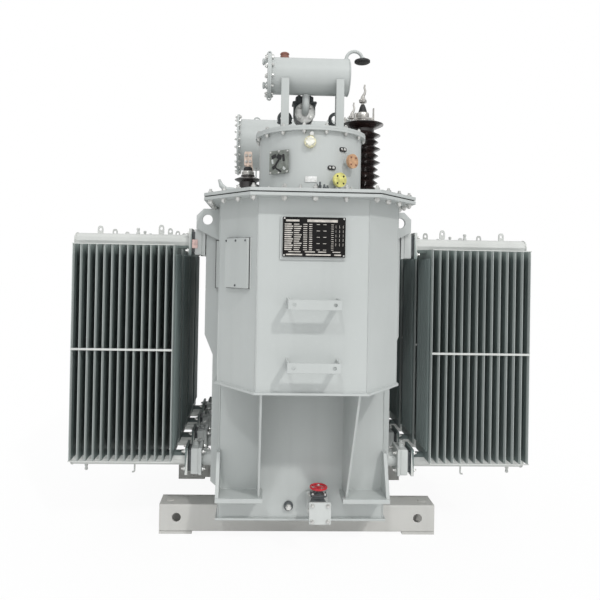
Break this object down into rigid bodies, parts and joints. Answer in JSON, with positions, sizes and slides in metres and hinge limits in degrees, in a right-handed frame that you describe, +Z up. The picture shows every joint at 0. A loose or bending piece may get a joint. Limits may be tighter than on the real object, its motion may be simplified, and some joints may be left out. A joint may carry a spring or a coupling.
{
  "type": "distribution voltage regulator",
  "caption": "Oil-filled distribution voltage regulator: steel tank on a two-beam skid, finned radiators on both sides, two conservators, bushings and a drain valve with a handwheel.",
  "frame": {"origin": "floor level, midway between the skid beams (centre of the four anchor holes)", "axes": "+X to the right seen from the front, +Y to the back, +Z up"},
  "size_m": [2.758, 2.275, 2.871],
  "materials": {
    "tank_paint": "semi-gloss light grey-green paint",
    "radiator_paint": "semi-gloss grey-green paint",
    "skid_paint": "satin grey paint",
    "gasket": "matte black",
    "porcelain": "glossy dark brown glaze",
    "lv_porcelain": "glossy dark glaze",
    "terminal_steel": "dark tinned metal",
    "copper": "bare copper",
    "dark_fitting": "dark cast metal",
    "plate": "black plate",
    "sight_glass": "off-white",
    "orange_cap": "orange",
    "yellow_cap": "yellow",
    "filler_brown": "red-brown",
    "red_paint": "red enamel",
    "valve_metal": "light grey, worn"
  },
  "bodies": {
    "regulator": {"conservator_legs": "tank_paint", "cover_gasket": "gasket", "drain_valve": "valve_metal", "expansion_end": "tank_paint", "expansion_legs": "tank_paint", "expansion_tank": "tank_paint", "filler_cap": "filler_brown", "gas_relay": "dark_fitting", "handhole_cover": "tank_paint", "hv_bases": "tank_paint", "hv_porcelains": "porcelain", "hv_terminals": "terminal_steel", "jack_pads": "tank_paint", "lid_eyes": "dark_fitting", "lifting_lugs": "tank_paint", "lv_porcelains": "lv_porcelain", "lv_terminals": "copper", "main_conservator": "tank_paint", "nose_floor": "tank_paint", "nose_gussets": "tank_paint", "nose_shell": "tank_paint", "nose_steps": "tank_paint", "oil_duct_left": "tank_paint", "oil_duct_right": "tank_paint", "oil_sight": "sight_glass", "port_lower_cap": "yellow_cap", "port_pipes": "tank_paint", "port_upper_cap": "orange_cap", "radiator_left_1": "radiator_paint", "radiator_left_2": "radiator_paint", "radiator_left_3": "radiator_paint", "radiator_left_4": "radiator_paint", "radiator_right_1": "radiator_paint", "radiator_right_2": "radiator_paint", "radiator_right_3": "radiator_paint", "radiator_right_4": "radiator_paint", "radiator_valves_left": "tank_paint", "radiator_valves_right": "tank_paint", "rating_plate": "plate", "relay_pipes": "tank_paint", "sampling_plug": "valve_metal", "skid_beam_front": "skid_paint", "skid_beam_rear": "skid_paint", "tank_cover": "tank_paint", "tank_floor": "tank_paint", "tank_rim": "tank_paint", "tank_shell": "tank_paint", "turret_lid": "tank_paint", "turret_plate": "plate", "turret_shell": "tank_paint", "vent_cap": "dark_fitting", "vent_pipe": "tank_paint"},
    "handwheel": {"drain_handwheel": "red_paint"}
  },
  "joints": [
    {"name": "handwheel_spin", "type": "hinge", "parent": "regulator", "child": "handwheel", "pos_m": [0.091, -0.8325, 0.409], "axis": [0, 0, 1], "range_deg": [0, 1080]}
  ]
}
